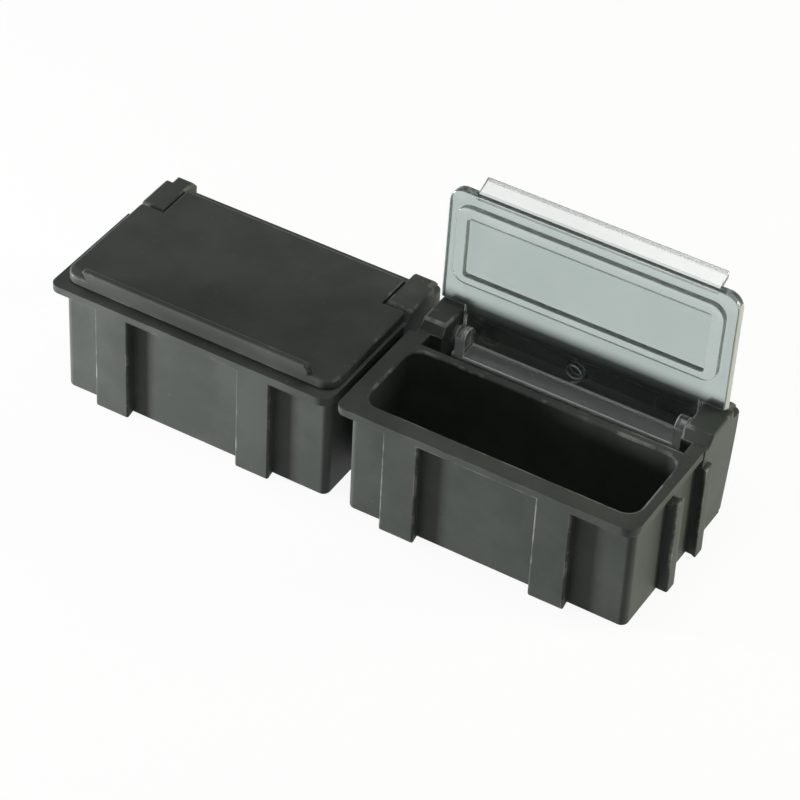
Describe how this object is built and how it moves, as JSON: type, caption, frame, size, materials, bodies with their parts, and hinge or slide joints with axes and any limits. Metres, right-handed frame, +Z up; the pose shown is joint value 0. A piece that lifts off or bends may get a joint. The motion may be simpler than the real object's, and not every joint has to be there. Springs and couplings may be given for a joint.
{
  "type": "compartment storage box",
  "caption": "Linked snap-lid storage boxes for small electronic parts: deep rectangular compartments in black plastic with spring-assisted hinged lids, one lid black, one clear.",
  "frame": {"origin": "middle of the foot print of the two linked boxes, on the table", "axes": "+X along the row of boxes, from the shut one to the open one; +Y from the front to the hinges; +Z up"},
  "size_m": [0.0848, 0.0284, 0.0363],
  "materials": {
    "tray_black": "satin black moulded plastic",
    "lid_black": "smooth satin black plastic",
    "lid_clear": "clear plastic",
    "spring_steel": "bright wire"
  },
  "bodies": {
    "left_box": {"tray_left": "tray_black", "spring_left": "spring_steel"},
    "left_lid": {"lid_left": "lid_black"},
    "right_box": {"tray_right": "tray_black", "spring_right": "spring_steel"},
    "right_lid": {"lid_right": "lid_clear"}
  },
  "joints": [
    {"name": "box_lift", "type": "slide", "parent": "left_box", "child": "right_box", "axis": [0, 0, 1], "range_m": [0, 0.016]},
    {"name": "left_lid_hinge", "type": "hinge", "parent": "left_box", "child": "left_lid", "pos_m": [-0.0206, 0.00737, 0.0155], "axis": [-1, 0, 0], "range_deg": [0, 92], "deforming": ["spring_left"]},
    {"name": "right_lid_hinge", "type": "hinge", "parent": "right_box", "child": "right_lid", "pos_m": [0.0214, 0.00737, 0.0155], "axis": [-1, 0, 0], "range_deg": [-92, 0], "deforming": ["spring_right"]}
  ]
}
